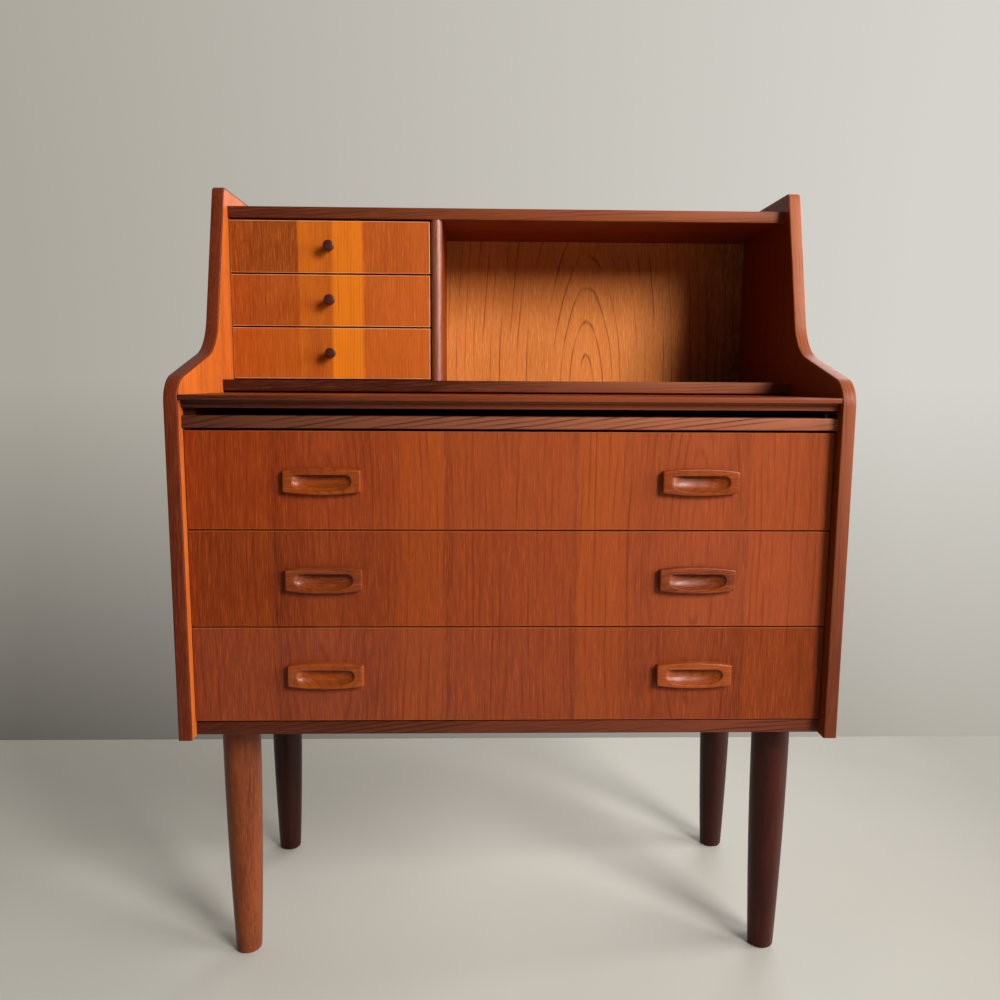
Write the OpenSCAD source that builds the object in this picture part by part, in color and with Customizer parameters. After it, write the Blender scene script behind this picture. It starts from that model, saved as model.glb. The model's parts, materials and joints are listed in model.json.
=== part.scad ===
// Secretary desk in teak: two shaped sides carry a bay of wide drawers, a pull-out writing slide
// and a set-back upper part with a bank of small drawers and an open compartment.
// Millimetres, +Z up, the front faces -Y. The origin is on the floor, midway between the sides
// and midway between their front and rear edges.

/* [Overall] */
// Width over the two sides
desk_w = 850; // [700:10:1100]
// Depth of the sides below the writing slide
desk_d = 450; // [400:5:560]
// Height of the sides' top edge above the floor
desk_h = 1080; // [1000:10:1200]
// Height of the writing surface above the floor
writing_h = 788; // [740:2:820]
// Length of the legs below the case
leg_len = 348; // [300:2:380]

/* [Sides] */
// Thickness of the side panels
side_t = 17; // [15:0.5:22]
// Thickness of the solid edging round a side's front and top
edging_t = 3; // [2:0.5:5]
// Setback of the front edge at its top corner
top_setback = 233; // [200:1:260]
// Slope of the shoulder, and rake of the edge above it, in degrees
shoulder_slope = 15; // [8:0.5:20]
// Height of the shoulder above the writing surface, measured at the front plane
shoulder_rise = 17; // [12:1:30]
// Radius of the convex turn below the shoulder
shoulder_r = 36; // [20:1:45]
// Radius of the hollow between shoulder and rake
hollow_r = 70; // [40:1:90]
// Radius of the top front corner
crown_r = 10; // [6:0.5:16]
// Height of the sides above the top board
upstand = 23.5; // [10:0.5:40]

/* [Boards] */
// Thickness of the top board
top_t = 16.5; // [15:0.5:22]
// Thickness of the shelf that floors the upper part
shelf_t = 16.5; // [15:0.5:22]
// Thickness of the bottom board
bottom_t = 18; // [17:0.5:24]
// Thickness of the divider
divider_t = 17; // [15:0.5:22]
// Depth, front to back, of the solid lips on the boards
lip_d = 12; // [10:0.5:20]
// Setback of the top board's lip
top_front = 247; // [236:1:270]
// Setback of the shelf's lip
shelf_front = 193; // [150:1:215]
// Setback of the bottom board's lip
bottom_front = 19.5; // [10:0.5:30]
// Clear width of the small drawer bank
bank_w = 294; // [220:2:340]
// Thickness of the back panels
back_t = 6; // [4:0.5:8]
// Distance of the back panels inside the sides' rear edges
back_inset = 2; // [0:0.5:4]
// Width of the rebate that holds the back panels
rebate_w = 8; // [6:0.5:9]

/* [Writing slide] */
// Thickness of the writing slide
slide_t = 16; // [14:0.5:20]
// Setback of the slide's front edge
slide_front = 1; // [0.5:0.5:6]
// Depth of the slide's solid lip
slide_lip_d = 24; // [20:1:40]
// Height of the face above the finger groove
slide_band = 6.6; // [5:0.2:8]
// Depth of the finger groove
finger_d = 8; // [5:0.5:10]
// Clearance over the slide
slide_over = 2.2; // [1.5:0.1:4]
// Clearance beside the slide, each side
slide_beside = 0.9; // [0.5:0.1:2]
// Clearance under the slide, over its runners
slide_under = 0.3; // [0.2:0.1:1]
// Distance from the slide's rear edge to the back panel
slide_rear = 14; // [8:1:40]
// Width of the slide's runners
slide_runner_w = 14; // [10:1:20]
// Height of the finger gap between rail and slide
finger_gap = 9.5; // [8:0.5:16]
// Travel of the slide before its stops meet the rail
slide_travel = 280; // [150:5:300]

/* [Rail] */
// Height of the rail above the wide drawers
rail_h = 15.5; // [14:0.5:24]
// Depth of the rail
rail_d = 40; // [36:1:60]
// Setback of the rail
rail_front = 12.5; // [8:0.5:20]

/* [Wide drawers] */
// Setback of the wide drawers' fronts
wide_front = 16.5; // [12:0.5:24]
// Thickness of the fronts
wide_front_t = 18; // [16:0.5:22]
// Thickness of the drawer walls
wide_wall = 12; // [10:0.5:15]
// Gap between two wide fronts
wide_gap = 1.6; // [1:0.1:3]
// Gap above the uppermost wide front
wide_top_gap = 3; // [2:0.2:5]
// Height that the box stays below the front's top edge
wide_drop = 16; // [10:1:30]

/* [Small drawers] */
// Setback of the small drawers' fronts
small_front = 250; // [248:0.5:272]
// Thickness of the small fronts
small_front_t = 15; // [13:0.5:18]
// Thickness of the small drawer walls
small_wall = 9; // [8:0.5:12]
// Gap between two small fronts
small_gap = 2.2; // [1:0.1:3]
// Gap above the uppermost small front
small_top_gap = 2.6; // [2:0.2:4]
// Height that the box stays below the front's top edge
small_drop = 10; // [6:1:20]

/* [Drawer making] */
// Gap between a drawer and the board beside it
beside_gap = 0.8; // [0.5:0.1:2]
// Gap under the lowest front of each stack
under_gap = 1.8; // [1:0.1:3]
// Height of a box's lower edge above its front's lower edge
box_lift = 6; // [4:0.5:10]
// Height of a drawer bottom above the box's lower edge
bottom_up = 7; // [5:0.5:10]
// Thickness of the drawer bottoms
panel_t = 4; // [3:0.5:6]
// Depth of the groove that holds a drawer bottom
panel_groove = 4.5; // [3:0.5:6]
// Depth of the housing that holds a drawer back
housing_d = 3; // [2:0.5:4]
// Glue gap round a drawer back in its housings
glue_gap = 0.1; // [0.05:0.05:0.2]
// Distance from a drawer's rear end to the back panel
drawer_rear = 12; // [8:1:30]
// Share of a front's thickness that the dovetails reach
lap = 0.6; // [0.4:0.05:0.7]
// Flare of the dovetails, in degrees
dovetail_flare = 9; // [6:0.5:12]
// Clearance over and under a drawer runner in its groove
runner_gap = 0.3; // [0.2:0.05:0.6]
// Clearance between a runner's face and the bottom of its groove
runner_face_gap = 0.5; // [0.3:0.1:1]

/* [Pulls and knobs] */
// Width of a pull
pull_w = 97; // [80:1:120]
// Height of a pull at its middle
pull_h = 34.5; // [30:0.5:40]
// Height of a pull at its ends
pull_end_h = 27; // [22:0.5:32]
// Distance that a pull stands out from the front
pull_proud = 9; // [6:0.5:12]
// Distance of a pull's middle from the desk's centre line
pull_x = 237.5; // [150:0.5:280]
// Width of the finger hollow
hollow_w = 73.5; // [60:0.5:90]
// Height of the finger hollow
hollow_h = 20.5; // [16:0.5:24]
// Width of the pull's glued boss behind the plate
boss_w = 80; // [66:1:94]
// Height of the boss
boss_h = 24; // [20:0.5:26]
// Depth of the boss in the front
boss_d = 11; // [9:0.5:13]
// Diameter of a knob's head
knob_d = 15.5; // [12:0.5:20]
// Distance that a knob stands out from the front
knob_len = 21; // [14:0.5:24]
// Diameter of a knob's tenon
tenon_d = 8; // [6:0.5:10]
// Length of a knob's tenon in the front
tenon_len = 11; // [8:0.5:12]

/* [Legs] */
// Diameter of a leg at its top
leg_top_d = 51; // [44:1:60]
// Diameter of a leg just above its rounded foot
leg_foot_d = 35; // [28:1:42]
// Radius of the foot's lower edge
foot_r = 4; // [2:0.5:6]
// Distance of a leg's axis from the side's outer face
leg_in_x = 56; // [46:1:90]
// Distance of a leg's axis from the front and rear edges
leg_in_y = 88; // [60:1:110]
// Width of the square leg plate
plate_w = 64; // [58:1:76]
// Thickness of the leg plate
plate_t = 3; // [2:0.5:4]
// Diameter of the hanger bolt
bolt_d = 8; // [6:1:10]
// Length of the bolt in the leg
bolt_in_leg = 40; // [25:1:60]

/* [Fastenings] */
// Diameter of the dowels
dowel_d = 8; // [6:0.5:8]
// Length of the dowels
dowel_len = 30; // [26:1:40]
// Depth of a dowel in the board it meets face on
dowel_deep = 11; // [8:0.5:12]
// Diameter of a wood screw's head
screw_head_d = 7; // [6:0.5:8]
// Diameter of a wood screw's shank
screw_d = 3.5; // [3:0.25:4]
// Length of a wood screw
screw_len = 13; // [11:0.5:14]

/* [Hidden] */
$fn = 64;
eps = 1;                                      // overrun of a cutting tool past the face it opens

// Heights of the stack, from the floor up
z_bay = leg_len + bottom_t;                   // floor of the wide drawer bay
z_slide = writing_h - slide_t;                // underside of the slide
z_rail_top = z_slide - finger_gap;
z_rail = z_rail_top - rail_h;                 // ceiling of the wide drawer bay
z_shelf = writing_h + slide_over;             // underside of the shelf
z_bank = z_shelf + shelf_t;                   // floor of the upper part
z_top_face = desk_h - upstand;                // upper face of the top board
z_top = z_top_face - top_t;                   // ceiling of the upper part

// Across and in depth. Depths are counted from the front plane, Y = -desk_d / 2.
in_x = desk_w / 2 - side_t;                   // inner face of a side
y_rear = desk_d - back_t - back_inset;        // rear edge of the boards, front of the back panels
x_divider = -in_x + bank_w;                   // left face of the divider
bank_x = -in_x + bank_w / 2;                  // middle of the small drawer bank
drawers = 3;                                  // wide drawers, and small drawers, one above another

// Sizes of the two kinds of drawer: [wide, small]
WIDE = 0;
SMALL = 1;
front_w = [2 * (in_x - beside_gap), bank_w - 2 * beside_gap];
front_h = [(z_rail - z_bay - wide_top_gap - under_gap - (drawers - 1) * wide_gap) / drawers,
           (z_top - z_bank - small_top_gap - under_gap - (drawers - 1) * small_gap) / drawers];
front_y = [wide_front, small_front];
front_t = [wide_front_t, small_front_t];
wall_t = [wide_wall, small_wall];
box_h = [front_h[WIDE] - box_lift - wide_drop, front_h[SMALL] - box_lift - small_drop];
box_len = [y_rear - drawer_rear - wide_front, y_rear - drawer_rear - small_front];
stack_z = [z_bay + under_gap, z_bank + under_gap];
stack_gap = [wide_gap, small_gap];
stack_x = [0, bank_x];
tails = [4, 3];                               // dovetails in each front corner
groove_h = [wide_wall, small_wall];           // the runner groove is as high as the wall is thick
groove_d = [wide_wall / 2, small_wall / 2];
panel_z = box_lift + bottom_up;               // underside of a drawer bottom above the front's edge
back_drop = 4;                                // a drawer back ends this far below the walls

// Outline of a side in its own plane, y back and z up, cut in by e at the front and the top
shoulder_z = writing_h + shoulder_rise;
slope = tan(shoulder_slope);
function arc(c, r, a, b, n) = [for (i = [0:n]) c + r * [cos(a + (b - a) * i / n), sin(a + (b - a) * i / n)]];
corner_y = (top_setback - (desk_h - shoulder_z) * slope) / (1 - slope * slope);
corner = [corner_y, shoulder_z + corner_y * slope];
shoulder_c = [shoulder_r,
              shoulder_z + shoulder_r * ((1 - sin(shoulder_slope)) * slope - cos(shoulder_slope))];
hollow_c = corner + hollow_r / sin(45 + shoulder_slope) * [-sqrt(0.5), sqrt(0.5)];
crown_c = [top_setback + crown_r * (1 - sin(shoulder_slope)) / cos(shoulder_slope), desk_h - crown_r];
function side_outline(e) = concat(
    [[desk_d, leg_len], [e, leg_len]],
    arc(shoulder_c, shoulder_r - e, 180, 90 + shoulder_slope, 12),
    arc(hollow_c, hollow_r + e, shoulder_slope - 90, -shoulder_slope, 12),
    arc(crown_c, crown_r - e, 180 - shoulder_slope, 90, 6),
    [[desk_d, desk_h - e]]);

// Values spread evenly from a to b
function spread(a, b, n) = [for (i = [0:n - 1]) a + (b - a) * i / (n - 1)];

// Dowels that cross from a side into the end of each horizontal piece: [height, depths]
dowel_in = 40;                                // first and last dowel from the ends of a joint
side_joints = [
    [z_top + top_t / 2, spread(top_front + dowel_in, y_rear - dowel_in, 3)],
    [z_shelf + shelf_t / 2, spread(shelf_front + dowel_in, y_rear - dowel_in, 3)],
    [leg_len + bottom_t / 2, [leg_in_y, desk_d / 2, desk_d - leg_in_y]],
    [z_rail + rail_h / 2, [rail_front + rail_d / 4, rail_front + rail_d * 3 / 4]]
];
divider_joints = spread(top_front + dowel_in, y_rear - dowel_in, 2);

// Back panel screws along the sides' rebates and into the top and bottom boards
screw_x = in_x + rebate_w / 2;
z_seam = z_shelf + shelf_t / 2;               // where the two back panels meet
rebate_in = 0.3;                              // play of the back panels in the rebates, each side
screw_in_z = 30;                              // first and last screw from the ends of a rebate
screw_in_x = 60;                              // first and last screw from the sides' inner faces
back_screws = concat(
    [for (s = [-1, 1], z = spread(z_seam + screw_in_z, z_top - screw_in_z, 3)) [s * screw_x, z]],
    [for (s = [-1, 1], z = spread(z_bay + screw_in_z, z_seam - screw_in_z, 4)) [s * screw_x, z]],
    [for (x = spread(screw_in_x - in_x, in_x - screw_in_x, 5)) [x, z_top + top_t / 2]],
    [for (x = spread(screw_in_x - in_x, in_x - screw_in_x, 5)) [x, leg_len + bottom_t / 2]]);

leg_x = desk_w / 2 - leg_in_x;
leg_y = [leg_in_y, desk_d - leg_in_y];
plate_screw = plate_w / 2 - 9;                // screws from the plate's centre, along each edge
bolt_up = bottom_t - 4;                       // bolt above the case's underside
hole_play = 1;                                // play of the bolt's end in the bottom board

pull_arc_r = (pow(pull_w / 2, 2) + pow((pull_h - pull_end_h) / 2, 2)) / (pull_h - pull_end_h);
hollow_top = hollow_h / 2 - 2.3;              // straight upper edge of the hollow, above the middle
scoop_r = 17;                                 // radius of the hollow's floor, seen from the end
scoop_out = 3;                                // its centre in front of the plate
scoop_up = 4;                                 // and above the plate's middle
undercut = 4;                                 // height that fingers reach up behind the upper edge
undercut_in = 5;                              // thickness of the edge in front of the undercut

stop_l = 60;                                  // slide stop along the desk
stop_t = 20;
stop_h = finger_gap + rail_h * 0.6;
stop_x = in_x * 0.6;
stop_play = 1;                                // play left between a stop and the rail

// Depths are given from the front plane
module from_front() {
    translate([0, -desk_d / 2, 0]) children();
}

// The same piece at left and right of the desk
module both_sides() {
    children();
    mirror([1, 0, 0]) children();
}

// A box from its lowest to its highest corner
module block(a, b) {
    translate(a) cube(b - a);
}

// A cylinder along +X from point p
module rod_x(p, d, l) {
    translate(p) rotate([0, 90, 0]) cylinder(d = d, h = l);
}

// The outline of a side, extruded from its inner to its outer face, at the right of the desk
module side_shape(e) {
    translate([in_x, 0, 0]) rotate([90, 0, 90]) linear_extrude(side_t) polygon(side_outline(e));
}

module side_dowels() {
    for (j = side_joints, y = j[1]) rod_x([in_x + dowel_deep - dowel_len, y, j[0]], dowel_d, dowel_len);
}

module divider_dowels() {
    for (y = divider_joints) {
        translate([x_divider + divider_t / 2, y, z_bank - dowel_deep]) cylinder(d = dowel_d, h = dowel_len);
        translate([x_divider + divider_t / 2, y, z_top + dowel_deep - dowel_len])
            cylinder(d = dowel_d, h = dowel_len);
    }
}

// Countersunk wood screw, its head's face at the origin, pointing along +Z
module screw_solid() {
    head = (screw_head_d - screw_d) / 2;
    rotate_extrude($fn = 24) polygon([
        [0, 0], [screw_head_d / 2, 0], [screw_d / 2, head], [screw_d / 2, screw_len - screw_d],
        [0.3, screw_len], [0, screw_len]
    ]);
}

module at_back_screws() {
    for (p = back_screws) translate([p[0], y_rear + back_t, p[1]]) rotate([90, 0, 0]) children();
}

module at_legs() {
    for (x = [-leg_x, leg_x], y = leg_y) translate([x, y, leg_len]) children();
}

module at_plate_screws() {
    at_legs() for (x = [-plate_screw, plate_screw], y = [-plate_screw, plate_screw])
        translate([x, y, 0]) children();
}

// Right side panel
module side_panel() {
    color("peru") from_front() difference() {
        side_shape(edging_t);
        block([in_x - eps, y_rear, leg_len - eps], [in_x + rebate_w, desk_d + eps, z_top_face]);
        side_dowels();
        at_back_screws() screw_solid();
    }
}

// Solid edging of the right side, along its front and top edges
module side_edging() {
    color("saddlebrown") from_front() difference() {
        side_shape(0);
        translate([in_x - eps, 0, 0]) rotate([90, 0, 90]) linear_extrude(side_t + 2 * eps)
            polygon(concat([[desk_d + eps, leg_len - eps], [edging_t, leg_len - eps]],
                [for (i = [2:len(side_outline(0)) - 2]) side_outline(edging_t)[i]],
                [[desk_d + eps, desk_h - edging_t]]));
    }
}

module top_board() {
    color("peru") from_front() difference() {
        block([-in_x, top_front + lip_d, z_top], [in_x, y_rear, z_top_face]);
        both_sides() side_dowels();
        divider_dowels();
        at_back_screws() screw_solid();
    }
}

module shelf_board() {
    color("peru") from_front() difference() {
        block([-in_x, shelf_front + lip_d, z_shelf], [in_x, y_rear, z_bank]);
        both_sides() side_dowels();
        divider_dowels();
    }
}

// Solid lip on a board's front edge, with its front arrises eased
module board_lip(y, z, t) {
    ease = 1.5;
    color("saddlebrown") from_front() translate([-in_x, y, z]) rotate([90, 0, 90])
        linear_extrude(2 * in_x) polygon([
            [0, ease], [ease, 0], [lip_d, 0], [lip_d, t], [ease, t], [0, t - ease]
        ]);
}

module divider() {
    color("peru") from_front() difference() {
        block([x_divider, top_front + lip_d, z_bank], [x_divider + divider_t, y_rear, z_top]);
        divider_dowels();
    }
}

// The divider's lip is half round in front
module divider_lip() {
    color("saddlebrown") from_front() translate([x_divider + divider_t / 2, top_front, z_bank])
        linear_extrude(z_top - z_bank) union() {
            translate([0, divider_t / 2]) intersection() {
                circle(d = divider_t);
                translate([-divider_t / 2, -divider_t / 2]) square([divider_t, divider_t / 2]);
            }
            translate([-divider_t / 2, divider_t / 2]) square([divider_t, lip_d - divider_t / 2]);
        }
}

module bottom_board() {
    color("peru") from_front() difference() {
        block([-in_x, bottom_front + lip_d, leg_len], [in_x, y_rear, z_bay]);
        both_sides() side_dowels();
        at_back_screws() screw_solid();
        at_legs() translate([-plate_w / 2, -plate_w / 2, -eps]) cube([plate_w, plate_w, plate_t + eps]);
        at_legs() cylinder(d = bolt_d + 2 * hole_play, h = bolt_up + hole_play);
        at_plate_screws() screw_solid();
    }
}

module front_rail() {
    color("sienna") from_front() difference() {
        block([-in_x, rail_front, z_rail], [in_x, rail_front + rail_d, z_rail_top]);
        both_sides() side_dowels();
    }
}

// Back panel between two heights, in the sides' rebates
module back_panel(low, high) {
    half = in_x + rebate_w - rebate_in;
    from_front() difference() {
        block([-half, y_rear, low], [half, y_rear + back_t, high]);
        at_back_screws() screw_solid();
    }
}

module upper_back() {
    color("chocolate") back_panel(z_seam, z_top_face);
}

module lower_back() {
    color("burlywood") back_panel(leg_len, z_seam);
}

// Runners along the sides under the writing slide, notched over the rail
module slide_runners() {
    start = rail_front + 8;                   // the runner's end stays behind the rail's face
    color("burlywood") from_front() both_sides() union() {
        block([in_x - slide_runner_w, start, z_rail_top], [in_x, y_rear, z_slide - slide_under]);
        block([in_x - slide_runner_w, rail_front + rail_d, z_rail], [in_x, y_rear, z_rail_top]);
    }
}

// Middle of the runner groove above the lower edge of a kind k drawer's front
function groove_z(k) = box_lift + box_h[k] * 0.55;

// Height of drawer i's lower edge, 0 the lowest, in the stack of kind k
function drawer_z(k, i) = stack_z[k] + i * (front_h[k] + stack_gap[k]);

// The runners of one stack of drawers, one strip at each side of each drawer
module runners(k) {
    gap = 6;                                  // runner behind the front, and before the back panel
    half = front_w[k] / 2 + beside_gap;
    color("burlywood") from_front() translate([stack_x[k], 0, 0])
        for (i = [0:drawers - 1]) translate([0, 0, drawer_z(k, i) + groove_z(k)]) both_sides()
            block([half - beside_gap - groove_d[k] + runner_face_gap, front_y[k] + front_t[k] + gap,
                   runner_gap - groove_h[k] / 2],
                  [half, y_rear - gap, groove_h[k] / 2 - runner_gap]);
}

// Radius of a leg at height z: its taper steepens steadily towards the foot
function leg_r(z) = leg_top_d / 2 - (leg_top_d - leg_foot_d) / 2 * pow((leg_len - z) / leg_len, 2);

module leg(x, y) {
    steps = 14;
    color("sienna") from_front() translate([x, y, 0]) difference() {
        rotate_extrude($fn = 96) polygon(concat([[0, 0]],
            arc([leg_r(foot_r) - foot_r, foot_r], foot_r, -90, 0, 5),
            [for (i = [1:steps]) let (z = foot_r + (leg_len - foot_r) * i / steps) [leg_r(z), z]],
            [[0, leg_len]]));
        translate([0, 0, leg_len - bolt_in_leg]) cylinder(d = bolt_d, h = bolt_in_leg + eps);
    }
}

// Steel plates let in flush with the case's underside
module leg_plates() {
    color("dimgray") from_front() difference() {
        at_legs() translate([-plate_w / 2, -plate_w / 2, 0]) cube([plate_w, plate_w, plate_t]);
        at_legs() translate([0, 0, -eps]) cylinder(d = bolt_d, h = plate_t + 2 * eps);
        at_plate_screws() screw_solid();
    }
}

module leg_bolts() {
    color("silver") from_front() at_legs()
        translate([0, 0, -bolt_in_leg]) cylinder(d = bolt_d, h = bolt_in_leg + bolt_up);
}

module dowels() {
    color("burlywood") from_front() {
        both_sides() side_dowels();
        divider_dowels();
    }
}

module wood_screws() {
    slot_w = 0.9;
    color("silver") from_front() {
        at_back_screws() difference() {
            screw_solid();
            translate([-screw_head_d / 2, -slot_w / 2, -eps]) cube([screw_head_d, slot_w, eps + 0.8]);
        }
        at_plate_screws() difference() {
            screw_solid();
            translate([-screw_head_d / 2, -slot_w / 2, -eps]) cube([screw_head_d, slot_w, eps + 0.8]);
        }
    }
}

slide_half = in_x - slide_beside;

module slide_board() {
    color("peru") from_front()
        block([-slide_half, slide_front + slide_lip_d, z_slide],
              [slide_half, y_rear - slide_rear, writing_h]);
}

// The slide's solid lip: a low face with a groove under it for the fingers
module slide_lip() {
    ease = 1;
    cove = 3;                                 // radius in the groove's inner corner
    color("saddlebrown") from_front() translate([-slide_half, slide_front, z_slide]) rotate([90, 0, 90])
        linear_extrude(2 * slide_half) polygon(concat(
            [[slide_lip_d, 0], [finger_d, 0]],
            arc([finger_d - cove, slide_t - slide_band - cove], cove, 0, 90, 5),
            [[0, slide_t - slide_band], [0, slide_t - ease], [ease, slide_t], [slide_lip_d, slide_t]]));
}

// Blocks under the slide that meet the rail when it is pulled right out
module slide_stops() {
    y = rail_front + rail_d + slide_travel + stop_play;
    color("burlywood") from_front() both_sides()
        block([stop_x - stop_l / 2, y, z_slide - stop_h], [stop_x + stop_l / 2, y + stop_t, z_slide]);
}

// Puts a kind k drawer's own frame in the desk: x from its middle, y back from the front's face,
// z up from the front's lower edge
module in_drawer(k, i) {
    from_front() translate([stack_x[k], front_y[k], drawer_z(k, i)]) children();
}

// Dovetails of the right wall, reaching forward into the front
module dovetails(k) {
    pitch = box_h[k] / tails[k];
    root = pitch * 0.26;
    reach = front_t[k] * lap;
    tip = root + reach * tan(dovetail_flare);
    for (j = [0:tails[k] - 1])
        translate([front_w[k] / 2 - wall_t[k], front_t[k], box_lift + pitch * (j + 0.5)])
            rotate([90, 0, 90]) linear_extrude(wall_t[k])
                polygon([[0, -root], [0, root], [-reach, tip], [-reach, -tip]]);
}

// Bottom panel, with a tongue that enters the front between its walls
module drawer_bottom(k) {
    half = front_w[k] / 2 - wall_t[k];
    color("burlywood") union() {
        block([-half - panel_groove, front_t[k], panel_z],
              [half + panel_groove, box_len[k], panel_z + panel_t]);
        block([-half, front_t[k] - panel_groove, panel_z], [half, front_t[k], panel_z + panel_t]);
    }
}

// Back board, grown by g all round to cut its housings; it stands on the bottom panel
module drawer_back(k, g = 0) {
    half = front_w[k] / 2 - wall_t[k] + housing_d;
    rear = box_len[k] - wall_t[k];
    color("burlywood")
        block([-half - g, rear - wall_t[k] - g, panel_z + panel_t],
              [half + g, rear + g, box_lift + box_h[k] - back_drop + g]);
}

// Right wall, with its dovetails, runner groove, bottom groove and housing for the back
module drawer_wall(k) {
    outer = front_w[k] / 2;
    inner = outer - wall_t[k];
    color("burlywood") union() {
        dovetails(k);
        difference() {
            block([inner, front_t[k], box_lift], [outer, box_len[k], box_lift + box_h[k]]);
            block([outer - groove_d[k], front_t[k] - eps, groove_z(k) - groove_h[k] / 2],
                  [outer + eps, box_len[k] + eps, groove_z(k) + groove_h[k] / 2]);
            drawer_bottom(k);
            drawer_back(k, glue_gap);
        }
    }
}

// Front, with sockets for the dovetails and a groove for the bottom
module drawer_front(k) {
    color("chocolate") difference() {
        block([-front_w[k] / 2, 0, 0], [front_w[k] / 2, front_t[k], front_h[k]]);
        both_sides() dovetails(k);
        drawer_bottom(k);
        children();
    }
}

module pull_boss() {
    translate([-boss_w / 2, 0, -boss_h / 2]) cube([boss_w, boss_d, boss_h]);
}

module at_pulls() {
    for (x = [-pull_x, pull_x]) translate([x, 0, front_h[WIDE] / 2]) children();
}

// Pull: a plate with arched upper and lower edges, a boss behind it, and a scooped finger hollow
module pull() {
    sink = undercut_in + scoop_r / 2;         // depth that the undercut reaches
    low_r = (pow(hollow_w / 2, 2) + pow(hollow_h, 2)) / (2 * hollow_h);
    difference() {
        union() {
            rotate([90, 0, 0]) linear_extrude(pull_proud) intersection() {
                translate([-pull_w / 2, -pull_h / 2]) square([pull_w, pull_h]);
                translate([0, pull_h / 2 - pull_arc_r]) circle(r = pull_arc_r, $fn = 360);
                translate([0, pull_arc_r - pull_h / 2]) circle(r = pull_arc_r, $fn = 360);
            }
            pull_boss();
        }
        intersection() {
            translate([0, boss_d, 0]) rotate([90, 0, 0]) linear_extrude(boss_d + pull_proud + eps)
                intersection() {
                    translate([-hollow_w / 2, hollow_top - hollow_h]) square([hollow_w, hollow_h]);
                    translate([0, hollow_top - hollow_h + low_r]) circle(r = low_r);
                }
            rod_x([-pull_w / 2, -pull_proud - scoop_out, scoop_up], 2 * scoop_r, pull_w);
        }
        block([-hollow_w * 0.4, undercut_in - pull_proud, hollow_top - eps],
              [hollow_w * 0.4, sink - pull_proud, hollow_top + undercut]);
    }
}

// Turned knob with its tenon, along +Z from the front's face
module knob() {
    neck_r = knob_d * 0.36;
    waist_r = knob_d * 0.42;
    edge_r = 2;
    crown = 0.5;                              // rise of the head's end in the middle
    rotate_extrude($fn = 48) polygon(concat(
        [[0, -tenon_len], [tenon_d / 2, -tenon_len], [tenon_d / 2, 0]],
        [[neck_r, 0], [waist_r, knob_len / 2]],
        arc([knob_d / 2 - edge_r, knob_len - edge_r - crown], edge_r, 0, 75, 4),
        [[0, knob_len]]));
}

module wide_front_board() {
    drawer_front(WIDE) at_pulls() pull_boss();
}

module small_front_board() {
    drawer_front(SMALL) translate([0, -eps, front_h[SMALL] / 2]) rotate([-90, 0, 0])
        cylinder(d = tenon_d, h = tenon_len + eps);
}

module wide_pulls() {
    color("peru") at_pulls() pull();
}

module small_box() {
    both_sides() drawer_wall(SMALL);
    drawer_back(SMALL);
}

module small_knob() {
    color("saddlebrown") translate([0, 0, front_h[SMALL] / 2]) rotate([90, 0, 0]) knob();
}

mirror([1, 0, 0]) side_panel();  // side_left
side_panel();  // side_right
mirror([1, 0, 0]) side_edging();  // side_edging_left
side_edging();  // side_edging_right
top_board();
board_lip(top_front, z_top, top_t);  // top_lip
shelf_board();
board_lip(shelf_front, z_shelf, shelf_t);  // shelf_lip
divider();
divider_lip();
bottom_board();
board_lip(bottom_front, leg_len, bottom_t);  // bottom_lip
front_rail();
upper_back();
lower_back();
slide_runners();
runners(WIDE);  // wide_drawer_runners
runners(SMALL);  // small_drawer_runners
leg(-leg_x, leg_y[0]);  // leg_front_left
leg(leg_x, leg_y[0]);  // leg_front_right
leg(-leg_x, leg_y[1]);  // leg_back_left
leg(leg_x, leg_y[1]);  // leg_back_right
leg_plates();
leg_bolts();
dowels();
wood_screws();
slide_board();
slide_lip();
slide_stops();
in_drawer(WIDE, 2) wide_front_board();  // wide_top_front
in_drawer(WIDE, 2) mirror([1, 0, 0]) drawer_wall(WIDE);  // wide_top_left
in_drawer(WIDE, 2) drawer_wall(WIDE);  // wide_top_right
in_drawer(WIDE, 2) drawer_back(WIDE);  // wide_top_back
in_drawer(WIDE, 2) drawer_bottom(WIDE);  // wide_top_bottom
in_drawer(WIDE, 2) wide_pulls();  // wide_top_pulls
in_drawer(WIDE, 1) wide_front_board();  // wide_middle_front
in_drawer(WIDE, 1) mirror([1, 0, 0]) drawer_wall(WIDE);  // wide_middle_left
in_drawer(WIDE, 1) drawer_wall(WIDE);  // wide_middle_right
in_drawer(WIDE, 1) drawer_back(WIDE);  // wide_middle_back
in_drawer(WIDE, 1) drawer_bottom(WIDE);  // wide_middle_bottom
in_drawer(WIDE, 1) wide_pulls();  // wide_middle_pulls
in_drawer(WIDE, 0) wide_front_board();  // wide_low_front
in_drawer(WIDE, 0) mirror([1, 0, 0]) drawer_wall(WIDE);  // wide_low_left
in_drawer(WIDE, 0) drawer_wall(WIDE);  // wide_low_right
in_drawer(WIDE, 0) drawer_back(WIDE);  // wide_low_back
in_drawer(WIDE, 0) drawer_bottom(WIDE);  // wide_low_bottom
in_drawer(WIDE, 0) wide_pulls();  // wide_low_pulls
in_drawer(SMALL, 2) small_front_board();  // small_top_front
in_drawer(SMALL, 2) small_box();  // small_top_box
in_drawer(SMALL, 2) drawer_bottom(SMALL);  // small_top_bottom
in_drawer(SMALL, 2) small_knob();  // small_top_knob
in_drawer(SMALL, 1) small_front_board();  // small_middle_front
in_drawer(SMALL, 1) small_box();  // small_middle_box
in_drawer(SMALL, 1) drawer_bottom(SMALL);  // small_middle_bottom
in_drawer(SMALL, 1) small_knob();  // small_middle_knob
in_drawer(SMALL, 0) small_front_board();  // small_low_front
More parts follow.
